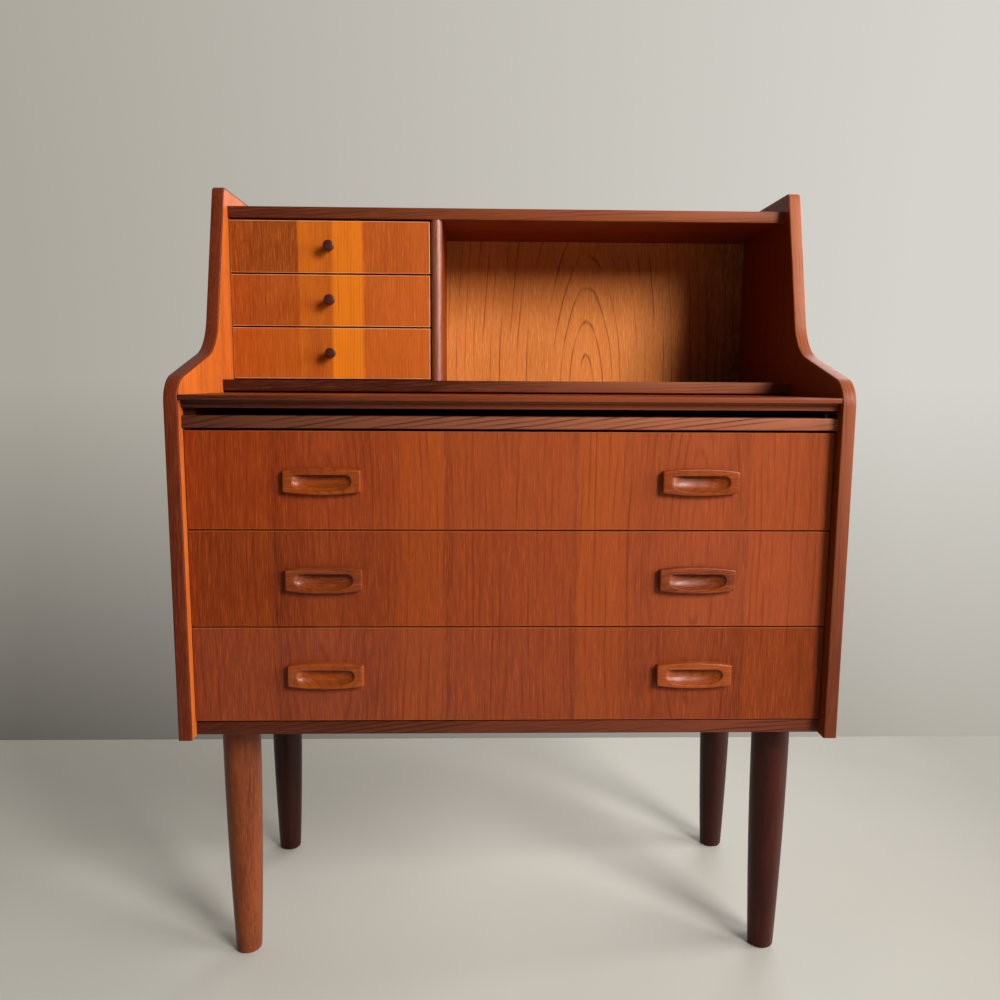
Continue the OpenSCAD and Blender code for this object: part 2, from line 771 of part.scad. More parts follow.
in_drawer(SMALL, 0) small_box();  // small_low_box
in_drawer(SMALL, 0) drawer_bottom(SMALL);  // small_low_bottom
in_drawer(SMALL, 0) small_knob();  // small_low_knob
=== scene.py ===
"""Looks of a teak secretary desk: oiled veneer, solid lips, carved pulls, turned legs and knobs."""
import json
import math

import bmesh
import bpy
import numpy as np
from bpy.props import FloatProperty, PointerProperty, StringProperty
from mathutils import Euler, Matrix, Vector


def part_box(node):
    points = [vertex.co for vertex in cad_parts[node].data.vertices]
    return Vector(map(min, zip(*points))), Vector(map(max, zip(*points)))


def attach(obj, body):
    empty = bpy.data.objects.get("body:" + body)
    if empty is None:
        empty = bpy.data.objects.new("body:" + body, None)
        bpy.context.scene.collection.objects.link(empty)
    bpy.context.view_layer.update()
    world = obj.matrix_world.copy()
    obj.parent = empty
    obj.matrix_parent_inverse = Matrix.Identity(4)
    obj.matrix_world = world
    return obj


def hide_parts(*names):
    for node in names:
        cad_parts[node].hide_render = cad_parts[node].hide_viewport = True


bl_info = {
    "name": "Teak Secretary Desk",
    "version": (1, 0, 0),
    "blender": (4, 5, 0),
    "location": "3D View > Sidebar > Desk",
    "description": "Shapes and finishes of a mid-century teak secretary desk",
    "category": "Add Mesh",
}

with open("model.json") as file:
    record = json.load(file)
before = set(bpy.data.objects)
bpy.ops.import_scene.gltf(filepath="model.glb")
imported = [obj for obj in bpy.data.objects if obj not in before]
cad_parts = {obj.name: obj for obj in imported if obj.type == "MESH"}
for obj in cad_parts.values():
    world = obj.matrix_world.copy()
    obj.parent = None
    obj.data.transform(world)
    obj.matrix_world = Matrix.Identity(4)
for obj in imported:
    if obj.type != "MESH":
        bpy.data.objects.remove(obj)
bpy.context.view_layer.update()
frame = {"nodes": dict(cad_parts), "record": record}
NODES = frame["nodes"]
BODY_OF = {n: body for body, names in frame["record"]["behaviour"]["bodies"].items() for n in names}
WIDE_DRAWERS = ("wide_top", "wide_middle", "wide_low")
SMALL_DRAWERS = ("small_top", "small_middle", "small_low")
LEGS = ("leg_front_left", "leg_front_right", "leg_back_left", "leg_back_right")
PULL_W = 0.097                           # width of one pull, two of which make a CAD node
BOSS_W, BOSS_H = 0.080, 0.024            # the boss behind it, let into the front


def corners(*nodes):
    """Lowest and highest corner over the named CAD nodes, as two arrays."""
    boxes = np.array([[tuple(c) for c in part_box(n)] for n in nodes])
    return boxes[:, 0].min(0), boxes[:, 1].max(0)


SIDE_LO, SIDE_HI = corners("side_edging_right")
FRONT_Y = SIDE_LO[1]                     # plane of the sides' front edges
WRITING_Z = corners("slide_board")[1][2]
INNER_X = SIDE_LO[0]                     # inner face of the right side


# Sizes and colours that a user would change

def metres(name, about, value):
    """A size in metres."""
    return FloatProperty(name=name, description=about, default=value, unit="LENGTH")


def swatch(name, about, value):
    """A finish's colour, as an sRGB hex value."""
    return StringProperty(name=name, description=about, default=value)


class DeskShape(bpy.types.PropertyGroup):
    """Curves and eased arrises of the desk's solid pieces."""
    top_setback: metres("Top Setback", "Setback of the side's front edge at its top corner", 0.233)
    shoulder_slope: FloatProperty(
        name="Shoulder Slope", description="Slope of the shoulder, and rake of the edge above it",
        default=math.radians(15), subtype="ANGLE")
    shoulder_rise: metres("Shoulder Rise", "Height of the shoulder above the writing surface", 0.017)
    shoulder_r: metres("Shoulder Radius", "Radius of the convex turn below the shoulder", 0.036)
    hollow_r: metres("Hollow Radius", "Radius of the hollow between shoulder and rake", 0.070)
    crown_r: metres("Crown Radius", "Radius of the side's top front corner", 0.010)
    edging_t: metres("Edging", "Thickness of the sides' solid edging", 0.003)
    arris: metres("Arris", "Radius of the eased arrises on solid edgings and lips", 0.0016)
    front_arris: metres("Front Arris", "Radius of the eased arrises of the drawer fronts", 0.0009)
    finger_groove: metres("Finger Groove", "Depth of the groove under the slide's lip", 0.011)
    slide_band: metres("Slide Band", "Height of the slide lip's face above its groove", 0.0066)
    pull_end_h: metres("Pull End Height", "Height of a pull at its ends", 0.027)
    pull_arris: metres("Pull Arris", "Radius of a pull plate's front arris", 0.0018)
    hollow_w: metres("Hollow Width", "Width of a pull's finger hollow", 0.0735)
    hollow_h: metres("Hollow Height", "Height of a pull's finger hollow", 0.0205)
    hollow_top: metres(
        "Hollow Top", "Height of the hollow's straight edge above the pull's middle", 0.00795)
    hollow_depth: metres("Hollow Depth", "Greatest depth of the finger hollow", 0.0100)
    leg_foot_d: metres("Leg Foot", "Diameter of a leg just above its foot", 0.035)
    foot_r: metres("Foot Radius", "Radius of a foot's lower edge", 0.004)
    tenon_d: metres("Knob Tenon", "Diameter of a knob's tenon", 0.008)


class DeskColours(bpy.types.PropertyGroup):
    """Colours of the finishes, as sRGB hex values."""
    veneer_dark: swatch("Veneer Dark", "Darker bands of the teak veneer", "5a1b05")
    veneer_mid: swatch("Veneer", "Ground colour of the teak veneer", "852f09")
    veneer_light: swatch("Veneer Light", "Light streaks of the veneer", "b2541c")
    solid_dark: swatch("Solid Dark", "Late wood of the solid teak", "2e0e06")
    solid_mid: swatch("Solid", "Ground colour of the solid teak", "4f1d0d")
    solid_light: swatch("Solid Light", "Early wood of the solid teak", "8a4322")
    pull_dark: swatch("Pull Dark", "Late wood of the carved pulls", "521c08")
    pull_mid: swatch("Pull", "Ground colour of the carved pulls", "843608")
    pull_light: swatch("Pull Light", "Early wood of the carved pulls", "b86224")
    knob: swatch("Knob", "Dark turned knobs", "3c1710")
    beech: swatch("Beech", "Pale beech of the drawer boxes", "c9a06c")
    ply: swatch("Ply", "Drawer bottoms and backing board", "c39a66")
    floor: swatch("Floor", "Pale floor", "b9b7b0")
    floor_worn: swatch("Floor Worn", "Worn parts of the floor", "a8a59d")
    # the room's greys: paler to the right as painted light, darker low down as painted shade
    backdrop: swatch("Backdrop", "Grey of the room, left", "aba79d")
    backdrop_lit: swatch("Backdrop Lit", "Grey of the room, right", "d6d3cc")
    backdrop_low: swatch("Backdrop Low", "Grey of the room, low down", "4c4843")


# Surfaces

DOUBLES = 0.00001                        # points closer than this are one point


def arc(centre, radius, start, end, count):
    """Points of an arc: the centre plus the radius times (cosine, sine) of evenly spaced angles."""
    angle = np.linspace(start, end, count)
    turn = np.stack([np.cos(angle), np.sin(angle)], 1)
    radius = np.asarray(radius, float)[..., None, None]
    return np.asarray(centre, float) + radius * turn


def eased_rectangle(lo, hi, radii):
    """Rectangle with a quarter arc at each corner, anticlockwise from the lower left one; radii has one
    value per corner and a radius of zero leaves that corner sharp."""
    points = []
    signs = ((1, 1), (-1, 1), (-1, -1), (1, -1))
    places = ((lo[0], lo[1]), (hi[0], lo[1]), (hi[0], hi[1]), (lo[0], hi[1]))
    for i, (place, sign, radius) in enumerate(zip(places, signs, radii)):
        start = math.pi + i * math.pi / 2
        centre = np.array(place) + np.array(sign) * radius
        points.append(arc(centre, radius, start, start + math.pi / 2, 5) if radius else np.array([place]))
    return np.concatenate(points)


def build(name, surfaces, sharp=35):
    """One mesh object from closed lofts. Each surface is an array of rings: quad (i, j) joins points j and
    j + 1 of rings i and i + 1, and a flat face closes each end ring. Doubles are merged and faces turned
    outwards; edges sharper than the given angle stay crisp."""
    verts, faces, base = [], [], 0
    for rings in surfaces:
        count, around = rings.shape[:2]
        i, j = np.meshgrid(np.arange(count - 1), np.arange(around), indexing="ij")
        k = (j + 1) % around
        quads = np.stack([i * around + j, i * around + k, (i + 1) * around + k, (i + 1) * around + j], -1)
        ends = [np.arange(around)[::-1], np.arange(around) + (count - 1) * around]
        faces += (quads.reshape(-1, 4) + base).tolist() + [(e + base).tolist() for e in ends]
        verts.append(rings.reshape(-1, 3))
        base += count * around
    mesh = bpy.data.meshes.new(name)
    mesh.from_pydata(np.concatenate(verts).tolist(), [], faces)
    return finish_mesh(name, mesh, sharp)


def finish_mesh(name, mesh, sharp):
    """Merges doubles, turns faces outwards, shades smooth between crisp edges and links the object."""
    work = bmesh.new()
    work.from_mesh(mesh)
    bmesh.ops.remove_doubles(work, verts=work.verts, dist=DOUBLES)
    bmesh.ops.dissolve_degenerate(work, edges=work.edges, dist=0.000005)
    bmesh.ops.recalc_face_normals(work, faces=work.faces)
    work.to_mesh(mesh)
    work.free()
    mesh.polygons.foreach_set("use_smooth", np.ones(len(mesh.polygons), bool))
    mesh.set_sharp_from_angle(angle=math.radians(sharp))
    piece = bpy.data.objects.new(name, mesh)
    bpy.context.scene.collection.objects.link(piece)
    return piece


def place(piece, material, *nodes):
    """The piece stands for the CAD nodes: it rides on their body and takes their slot."""
    piece.data.materials.clear()
    piece.data.materials.append(material)
    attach(piece, BODY_OF[nodes[0]])
    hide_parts(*nodes)


def dress(material, *nodes):
    """Gives CAD nodes whose shape stays their finish."""
    for node in nodes:
        mesh = NODES[node].data
        mesh.materials.clear()
        mesh.materials.append(material)


def bar(name, profile, x0, x1):
    """A (y, z) profile carried straight along X from x0 to x1."""
    ends = np.array([x0, x1])
    rings = np.empty((2, len(profile), 3))
    rings[..., 0] = ends[:, None]
    rings[..., 1:] = profile
    return build(name, [rings])


def revolve(radius, along, around):
    """Rings of a turned piece: the point at angle a and step s is (r(s) cos a, r(s) sin a, along(s))."""
    angle = np.linspace(0, 2 * math.pi, around, endpoint=False)
    rings = np.empty((len(radius), around, 3))
    rings[..., 0] = radius[:, None] * np.cos(angle)
    rings[..., 1] = radius[:, None] * np.sin(angle)
    rings[..., 2] = along[:, None]
    return rings


def side_outline(shape, inset):
    """Front and top edge of a side, set in by each value of inset: (y, z) from the foot of the front edge
    up over the convex shoulder, the hollow, the raked line and the crown to the rear end of the top."""
    depth, height = SIDE_HI[1] - FRONT_Y, SIDE_HI[2]
    slope, angle = math.tan(shape.shoulder_slope), shape.shoulder_slope
    shoulder_z = WRITING_Z + shape.shoulder_rise
    corner_y = (shape.top_setback - (height - shoulder_z) * slope) / (1 - slope * slope)
    corner = np.array([corner_y, shoulder_z + corner_y * slope])
    radius = shape.shoulder_r
    shoulder = (radius, shoulder_z + radius * ((1 - math.sin(angle)) * slope - math.cos(angle)))
    hollow = corner + shape.hollow_r / math.sin(math.pi / 4 + angle) * np.array([-1, 1]) * math.sqrt(0.5)
    crown = (shape.top_setback + shape.crown_r * (1 - math.sin(angle)) / math.cos(angle),
             height - shape.crown_r)
    quarter = math.pi / 2
    foot = np.stack([inset, np.full_like(inset, SIDE_LO[2])], -1)[:, None]
    rear = np.stack([np.full_like(inset, depth), height - inset], -1)[:, None]
    points = np.concatenate([
        foot,
        arc(shoulder, radius - inset, 2 * quarter, quarter + angle, 28),
        arc(hollow, shape.hollow_r + inset, angle - quarter, -angle, 28),
        arc(crown, shape.crown_r - inset, 2 * quarter - angle, quarter, 14),
        rear], axis=1)
    points[..., 0] += FRONT_Y
    return points


# Finishes

WAVE_TURNS = 20.0                        # a wave texture turns through this angle per unit at scale 1
SWAY_MM, SWAY = (45, 260), 0.012         # the rings' slow drift: its width and length, and how far
FADE_MM = (14, 160)                      # width and length of the gaps in a ring's line
BUMP = 0.0004                            # depth of the pores and late wood
JOINT_SHADE = "3a1307"                         # painted shade on the fronts' edges, in the joints between the fronts


def linear(text):
    """An sRGB hex value as linear RGBA."""
    values = np.array([int(text[i:i + 2], 16) / 255 for i in (0, 2, 4)])
    values = np.where(values <= 0.04045, values / 12.92, ((values + 0.055) / 1.055) ** 2.4)
    return (*values.tolist(), 1.0)


def add(tree, kind, links=None, **settings):
    """Adds a node, sets its properties and its inputs, and links those given as another node's output."""
    made = tree.nodes.new(kind)
    for key, value in settings.items():
        setattr(made, key, value)
    for key, value in (links or {}).items():
        if isinstance(value, bpy.types.NodeSocket):
            tree.links.new(value, made.inputs[key])
        else:
            made.inputs[key].default_value = value
    return made


def grey(value):
    """A grey of the given linear value."""
    return (value, value, value, 1.0)


def mix(tree, share, first, second):
    """Mix of two colours; share is the second one's part."""
    return add(tree, "ShaderNodeMix", {"Factor": share, 6: first, 7: second}, data_type="RGBA").outputs[2]


def span(tree, value, low=0.0, high=1.0, to_low=0.0, to_high=1.0):
    """The value carried from low..high to to_low..to_high, held at both ends."""
    return add(tree, "ShaderNodeMapRange", {
        "Value": value, "From Min": low, "From Max": high, "To Min": to_low, "To Max": to_high}).outputs[0]


def calc(tree, operation, *values):
    """A sum, product or other operation on numbers."""
    return add(tree, "ShaderNodeMath", dict(enumerate(values)), operation=operation).outputs[0]


def vector(tree, operation, *values):
    """The same on vectors."""
    return add(tree, "ShaderNodeVectorMath", dict(enumerate(values)), operation=operation).outputs[0]


def noise(tree, where, detail=2.0, scale=1.0, roughness=0.5):
    """Noise over the given coordinates."""
    return add(tree, "ShaderNodeTexNoise", {
        "Vector": where, "Scale": scale, "Detail": detail, "Roughness": roughness}).outputs


def split(tree, where, axis):
    """One axis of a vector."""
    return add(tree, "ShaderNodeSeparateXYZ", {0: where}).outputs[axis]


def ramp(tree, value, stops):
    """A run of colours over the value, given as pairs of a position and a colour."""
    made = add(tree, "ShaderNodeValToRGB", {"Fac": value})
    elements = made.color_ramp.elements
    while len(elements) < len(stops):
        elements.new(1.0)
    for element, (position, colour) in zip(elements, stops):
        element.position = position
        element.color = colour
    return made.outputs[0]


def start(name, roughness):
    """A new material with its shader: returns the material, its tree and the shader."""
    material = bpy.data.materials.new(name)
    material.use_nodes = True
    tree = material.node_tree
    shader = tree.nodes["Principled BSDF"]
    shader.inputs["Roughness"].default_value = roughness
    return material, tree, shader


def wood(name, dark, mid, light, grain="Z", turn=(0, 0, 0), heart=(0, 0, 0), heart_stretch=0.12,
         ring_mm=9.0, ring_depth=0.35, figure=1.2, band_mm=60.0, band_depth=0.5, streak_mm=2.2,
         streak_depth=0.45, roughness=0.42, relief=0.10, mirrored=False, plane="Y", tint=None,
         wear_and_highlight=None, gloss=0.12, line=0.60, pore_stretch=22):
    """Teak cut with its grain along one axis: rings round a heart, broad bands, and open pores.
    The rings are a saw wave of the distance from the heart, drawn out along the grain; the bands and the
    pores are noise drawn out the same way. Line is the share of a ring before its dark late wood. Tint is a
    paint laid under the pores, for leaves of veneer and for painted light and shade; the paint for the
    arrises is laid over everything, a pale band that is partly wear and partly painted highlight."""
    material, tree, shader = start(name, roughness)
    shader.inputs["Specular IOR Level"].default_value = gloss
    long = "XYZ".index(grain)
    where = add(tree, "ShaderNodeTexCoord").outputs["Object"]
    if any(turn):
        where = add(tree, "ShaderNodeMapping", {"Vector": where, "Rotation": turn}).outputs[0]

    def drawn(width_mm, length_mm):
        """Coordinates in units of a width across the grain and a length along it."""
        scale = [1000 / width_mm] * 3
        scale[long] = 1000 / length_mm
        return add(tree, "ShaderNodeMapping", {"Vector": where, "Scale": scale}).outputs[0]

    # growth rings, as nested arches where the cut runs close to the heart
    ring_from = vector(tree, "ABSOLUTE", where) if mirrored else where
    scale = [1.0, 1.0, 1.0]
    scale[long] = heart_stretch
    centred = vector(tree, "SUBTRACT", ring_from, heart)
    centred = add(tree, "ShaderNodeMapping", {"Vector": centred, "Scale": scale}).outputs[0]
    sway = vector(tree, "SUBTRACT", noise(tree, drawn(*SWAY_MM))["Color"], (0.5,) * 3)
    sway = add(tree, "ShaderNodeVectorMath", {0: sway, "Scale": SWAY * figure}, operation="SCALE")
    centred = vector(tree, "ADD", centred, sway.outputs[0])
    rings = add(tree, "ShaderNodeTexWave", {
        "Vector": centred, "Scale": 2 * math.pi / WAVE_TURNS * 1000 / ring_mm, "Distortion": 1.5 * figure,
        "Detail": 2.0, "Detail Scale": 0.25}, wave_type="RINGS", rings_direction=plane, wave_profile="SAW")
    late = ramp(tree, rings.outputs["Fac"], [
        (0.0, grey(0)), (line, grey(0.10)), (0.5 * line + 0.5, grey(1)), (1.0, grey(0))])
    # a ring's line comes and goes along the grain
    late = calc(tree, "MULTIPLY", late, span(tree, noise(tree, drawn(*FADE_MM))["Fac"], 0.40, 0.62))

    # broad bands and open pores
    bands = noise(tree, drawn(band_mm, band_mm * 14), 3.0, roughness=0.6)["Fac"]
    bands = span(tree, bands, 0.36, 0.64)
    pores = noise(tree, drawn(streak_mm, streak_mm * pore_stretch), 3.0, roughness=0.65)["Fac"]
    pores = span(tree, pores, 0.36, 0.66)
    fine = noise(tree, drawn(streak_mm * 0.5, streak_mm * 0.4 * pore_stretch), roughness=0.6)["Fac"]
    fine = span(tree, fine, 0.35, 0.65)

    colour = mix(tree, calc(tree, "MULTIPLY", bands, band_depth), linear(mid), linear(dark))
    if tint:
        colour = tint(tree, where, colour)
    share = calc(tree, "MULTIPLY", calc(tree, "MULTIPLY", pores, fine), streak_depth)
    colour = mix(tree, share, colour, linear(light))
    colour = mix(tree, calc(tree, "MULTIPLY", late, ring_depth), colour, linear(dark))
    if wear_and_highlight:
        colour = wear_and_highlight(tree, where, colour)
    tree.links.new(colour, shader.inputs["Base Color"])

    rough = span(tree, pores, to_low=roughness - 0.05, to_high=roughness + 0.09)
    tree.links.new(rough, shader.inputs["Roughness"])
    height = calc(tree, "ADD", pores, late)
    bump = add(tree, "ShaderNodeBump", {"Height": height, "Strength": relief, "Distance": BUMP}).outputs[0]
    tree.links.new(bump, shader.inputs["Normal"])
    return material


def rim(node, width, pale, share=0.40):
    """Arris band, partly wear and partly painted highlight: a narrow paler band inside the outline of the
    node's face, patchy along its length.
    The band is where the larger of |x| and |z| less half the face's width and height, measured from its
    middle, passes -width. The faces behind the front plane take the painted shade of the joints."""
    lo, hi = corners(node)
    middle, half = (lo + hi) / 2, (hi - lo) / 2
    reach = half + (0.0, 1.0, 0.0)
    skin = 0.0010

    def paint(tree, where, colour):
        off = vector(tree, "SUBTRACT", where, tuple(middle))
        off = vector(tree, "SUBTRACT", vector(tree, "ABSOLUTE", off), tuple(reach))
        off = add(tree, "ShaderNodeSeparateXYZ", {0: off}).outputs
        band = span(tree, calc(tree, "MAXIMUM", off["X"], off["Z"]), -width * 1.15, -width * 0.85)
        patch = noise(tree, where, 3.0, scale=22.0)["Fac"]
        patch = span(tree, patch, 0.35, 0.60, share * 0.45, share)
        colour = mix(tree, calc(tree, "MULTIPLY", band, patch), colour, linear(pale))
        # the front's edges behind its face: painted shade of the joints
        behind = span(tree, split(tree, where, "Y"), lo[1] + skin, lo[1] + 2 * skin)
        return mix(tree, behind, colour, linear(JOINT_SHADE))
    return paint


def leaves(x0, x1, stops, share=0.75, mirrored=False):
    """Leaves of veneer side by side across a front: a ramp over x, or over |x|, with wavy joints."""
    waver = 0.004

    def paint(tree, where, colour):
        wave = noise(tree, where, 3.0, scale=30.0)["Fac"]
        x = split(tree, where, "X")
        if mirrored:
            x = calc(tree, "ABSOLUTE", x)
        x = calc(tree, "MULTIPLY_ADD", wave, waver, x)
        across = span(tree, x, x0 + waver / 2, x1 + waver / 2)
        leaf = ramp(tree, across, [(position, linear(text)) for position, text in stops])
        return mix(tree, share, colour, leaf)
    return paint


def slope_tint(start_at, end_at, first, last, axis="X", share=0.7):
    """Painted light and shade: a mix of two colours between two places on an axis, laid over the colour."""
    def paint(tree, where, colour):
        along = span(tree, split(tree, where, axis), start_at, end_at)
        return mix(tree, share, colour, mix(tree, along, linear(first), linear(last)))
    return paint


def in_turn(*paints):
    """One paint that lays the given paints over each other."""
    def paint(tree, where, colour):
        for layer in paints:
            colour = layer(tree, where, colour)
        return colour
    return paint


def metal(name, colour, roughness, grain_mm):
    """Bright metal with fine rolling marks."""
    material, tree, shader = start(name, roughness)
    shader.inputs["Metallic"].default_value = 1.0
    where = add(tree, "ShaderNodeTexCoord").outputs["Object"]
    marks = noise(tree, where, 4.0, scale=1000 / grain_mm)["Fac"]
    red, green, blue, alpha = linear(colour)
    shade = ramp(tree, marks, [(0.3, (red * 0.7, green * 0.7, blue * 0.7, alpha)), (0.7, linear(colour))])
    tree.links.new(shade, shader.inputs["Base Color"])
    rough = span(tree, marks, to_low=roughness * 0.8, to_high=roughness * 1.3)
    tree.links.new(rough, shader.inputs["Roughness"])
    return material


class Maker(bpy.types.Operator):
    """Base of the desk's operators."""
    bl_options = {"REGISTER", "UNDO"}

    @property
    def shape(self):
        return bpy.context.scene.desk_shape

    @property
    def colours(self):
        return bpy.context.scene.desk_colours


class DESK_OT_sides(Maker):
    """Veneered sides with their edging: a rectangle with eased outer arrises carried along the outline."""
    bl_idname = "desk.sides"
    bl_label = "Sides"

    def execute(self, context):
        c = self.colours
        shape = self.shape
        # sliced teak veneer, oiled: vertical grain, satin; the left side is paler as painted light from the
        # lamp at the right, and the right side darker as painted shade
        for side, mid, light in (("left", "bc5a1c", "e08c44"), ("right", "78300e", "b05c26")):
            veneer = wood("Oiled teak veneer, " + side + " side", c.veneer_dark, mid, light, plane="X",
                          heart=(0, 0.05, 0.7), heart_stretch=0.1, ring_mm=14, ring_depth=0.2,
                          streak_depth=0.4)
            dress(veneer, "side_" + side)
        r = shape.arris
        profile = eased_rectangle((INNER_X, 0), (SIDE_HI[0], shape.edging_t), (r, r, 0, 0))
        line = side_outline(shape, profile[:, 1])
        rings = np.empty((line.shape[1], len(profile), 3))
        rings[..., 0] = profile[:, 0]
        rings[..., 1:] = line.transpose(1, 0, 2)
        # the left edging stays dark and the right one lightens upwards: painted shade on the left, painted
        # sheen from the lamp at the right
        for side, sign, low, high in (("left", -1, "581b07", "64240e"), ("right", 1, "5e2810", "b0623c")):
            # solid teak, planed and oiled, bent round the shoulder
            edging = wood("Oiled solid teak, " + side + " edging", c.solid_dark, c.solid_mid, c.solid_light,
                          ring_mm=5, ring_depth=0.45, band_mm=20, streak_mm=1.6, streak_depth=0.5,
                          roughness=0.46, gloss=0.16, tint=slope_tint(0.45, 1.0, low, high, axis="Z"))
            piece = build("solid_edging_" + side, [rings * (sign, 1, 1)])
            place(piece, edging, "side_edging_" + side)
        return {"FINISHED"}


class DESK_OT_lips(Maker):
    """Solid lips of the boards, the divider's half-round lip, and the rail: profiles carried along."""
    bl_idname = "desk.lips"
    bl_label = "Lips and Rail"

    def execute(self, context):
        c = self.colours
        r = self.shape.arris
        timber = (c.solid_dark, c.solid_mid, c.solid_light)
        # solid teak, planed and oiled: grain along the piece; darker to the left and lighter towards the
        # window's side, as painted light and shade
        along = dict(grain="X", heart=(0, 0, 0.6), ring_mm=5, ring_depth=0.75, band_mm=16, streak_mm=1.8,
                     turn=(0, math.radians(3), 0), roughness=0.42, gloss=0.16)
        solid = wood("Oiled solid teak, lips", *timber,
                     tint=slope_tint(-0.4, 0.3, "381206", "924a24"), **along)
        shelf = wood("Oiled solid teak, shelf lip", *timber,
                     tint=slope_tint(-0.08, 0.3, "2c0e06", "9c5838"), **along)
        # the slide's lip is the darkest of the lips, and darker still to its left as painted shade
        slide_lip_shaded = wood("Oiled solid teak, slide lip", c.solid_dark, "451709", "7a3a1e", grain="X",
                       plane="X", ring_mm=4, ring_depth=0.4, band_mm=16, streak_mm=1.8, roughness=0.40,
                       gloss=0.2, tint=slope_tint(-0.4, 0.1, "1e0904", "88401e"))
        # the same wood cut aslant, planed and oiled, so its rings run across the face; like the lips it
        # darkens to the left as painted shade
        aslant = dict(grain="X", heart=(0, 0, -0.3), heart_stretch=0.3, ring_mm=6, ring_depth=1.0,
                      band_mm=14, streak_mm=1.8, roughness=0.42, gloss=0.16)
        slant = wood("Oiled solid teak, slanting grain", c.solid_dark, c.solid_mid, "6a3018",
                     streak_depth=0.3, turn=(0, math.radians(9), 0),
                     tint=slope_tint(-0.42, 0.3, "0c0301", "9a593e", share=0.92), **aslant)
        low = wood("Oiled solid teak, bottom lip", c.solid_dark, c.solid_mid, "7a3a1e",
                   turn=(0, math.radians(7), 0), tint=slope_tint(-0.4, 0.3, "300e06", "6e3520"), **aslant)
        for node, material in (("top_lip", solid), ("shelf_lip", shelf), ("bottom_lip", low),
                               ("front_rail", slant)):
            lo, hi = corners(node)
            profile = eased_rectangle(lo[1:], hi[1:], (r, 0, 0, r))
            place(bar("eased_" + node, profile, lo[0], hi[0]), material, node)
        # upright lip with a half-round nose, sanded and waxed
        upright = wood("Oiled solid teak, upright", c.solid_dark, "8a452a", "c08060", ring_mm=4,
                       ring_depth=0.25, band_mm=12, streak_mm=1.6, roughness=0.38, gloss=0.5)
        lo, hi = corners("divider_lip")
        radius = (hi[0] - lo[0]) / 2
        nose = arc(((lo[0] + hi[0]) / 2, lo[1] + radius), radius, math.pi, 2 * math.pi, 33)
        outline = np.concatenate([nose, [[hi[0], hi[1]], [lo[0], hi[1]]]])
        rings = np.empty((2, len(outline), 3))
        rings[..., :2] = outline
        rings[..., 2] = np.array([lo[2], hi[2]])[:, None]
        place(build("round_divider_lip", [rings]), upright, "divider_lip")
        # the slide's lip: a band over a coved finger groove
        lo, hi = corners("slide_lip")
        thick, groove, band = hi[2] - lo[2], self.shape.finger_groove, self.shape.slide_band
        cove, under_r = 0.003, 0.0008    # radii of the groove's hollow and of the band's lower arris
        profile = np.concatenate([
            [[hi[1] - lo[1], 0], [groove, 0], [groove, thick - band - cove]],
            arc((groove - cove, thick - band - cove), cove, 0, math.pi / 2, 9),
            arc((under_r, thick - band + under_r), under_r, 1.5 * math.pi, math.pi, 5),
            arc((r, thick - r), r, math.pi, math.pi / 2, 7),
            [[hi[1] - lo[1], thick]]])
        place(bar("coved_slide_lip", profile + (lo[1], lo[2]), lo[0], hi[0]), slide_lip_shaded, "slide_lip")
        return {"FINISHED"}


